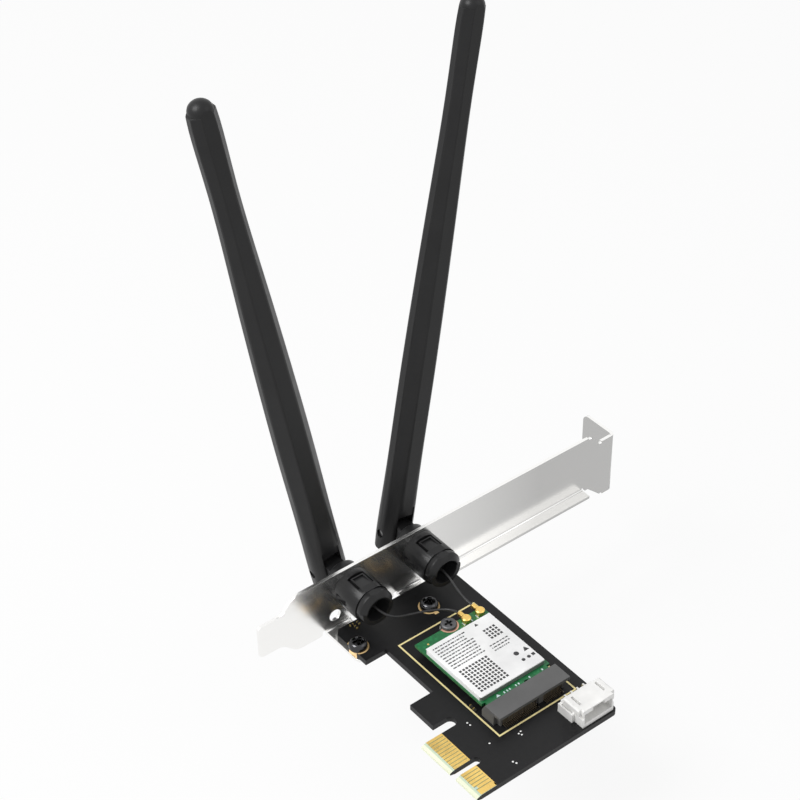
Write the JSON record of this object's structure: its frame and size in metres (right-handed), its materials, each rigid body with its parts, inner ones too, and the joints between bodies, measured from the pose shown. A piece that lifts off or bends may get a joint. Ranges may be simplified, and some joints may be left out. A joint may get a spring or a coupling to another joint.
{
  "type": "wireless network card",
  "caption": "Short expansion card with slot bracket, plug-in radio module, cable header and two swivelling rod aerials.",
  "frame": {"origin": "centre of the bracket's screw slot, on the face of the screw tab that seats on the case", "axes": "+X along the bracket from its tongue to its screw tab, +Y out of the computer through the bracket, +Z away from the component side of the board, which lies level"},
  "size_m": [0.121, 0.0815, 0.1625],
  "materials": {
    "bracket_nickel": "satin nickel plate on sheet steel",
    "board_black": "black solder mask on glass laminate",
    "gold_plate": "thin gold plate on copper",
    "screw_black": "black plated steel",
    "chip_dark": "ceramic chip",
    "module_green": "green solder mask on glass laminate",
    "can_metal": "tinned steel can",
    "label_white": "plain white film",
    "standoff_metal": "tinned brass stand",
    "copper_ring": "bare copper",
    "module_screw_grey": "grey plated steel",
    "socket_grey": "moulded plastic",
    "contact_tin": "tinned contact metal",
    "lead_jacket": "thin coaxial jacket",
    "header_white": "white nylon",
    "aerial_black": "satin black plastic",
    "pin_steel": "dark steel pin",
    "inner_brass": "brass tube and coax"
  },
  "bodies": {
    "card": {"bracket": "bracket_nickel", "circuit_board": "board_black", "edge_contacts_top": "gold_plate", "edge_contacts_bottom": "gold_plate", "outline_trace": "gold_plate", "screw_pads": "gold_plate", "bracket_screws": "screw_black", "board_chips": "chip_dark", "module_board": "module_green", "shield_can": "can_metal", "module_label": "label_white", "module_standoff": "standoff_metal", "module_ring": "copper_ring", "module_screw": "module_screw_grey", "module_socket": "socket_grey", "socket_contacts": "contact_tin", "coax_jacks": "gold_plate", "left_plug": "gold_plate", "right_plug": "gold_plate", "left_lead": "lead_jacket", "right_lead": "lead_jacket", "header_housing": "header_white", "header_pins": "contact_tin", "left_gland": "aerial_black", "right_gland": "aerial_black"},
    "left_swivel_mount": {"left_swivel": "aerial_black"},
    "left_aerial_rod": {"left_aerial": "aerial_black", "left_hinge_pin": "pin_steel", "left_radiator": "inner_brass"},
    "right_swivel_mount": {"right_swivel": "aerial_black"},
    "right_aerial_rod": {"right_aerial": "aerial_black", "right_hinge_pin": "pin_steel", "right_radiator": "inner_brass"}
  },
  "joints": [
    {"name": "left_swivel_turn", "type": "hinge", "parent": "card", "child": "left_swivel_mount", "pos_m": [-0.0904, -0.00635, 0.00818], "axis": [0, 1, 0], "range_deg": [-79.5, 10.5]},
    {"name": "left_aerial_tilt", "type": "hinge", "parent": "left_swivel_mount", "child": "left_aerial_rod", "pos_m": [-0.0904, 0.00395, 0.00818], "axis": [-0.9833, 0, -0.1822], "range_deg": [0, 90]},
    {"name": "right_swivel_turn", "type": "hinge", "parent": "card", "child": "right_swivel_mount", "pos_m": [-0.0684, -0.00635, 0.00818], "axis": [0, 1, 0], "range_deg": [-9.9, 70.1]},
    {"name": "right_aerial_tilt", "type": "hinge", "parent": "right_swivel_mount", "child": "right_aerial_rod", "pos_m": [-0.0684, 0.00395, 0.00818], "axis": [-0.9851, 0, 0.1719], "range_deg": [0, 90]}
  ]
}
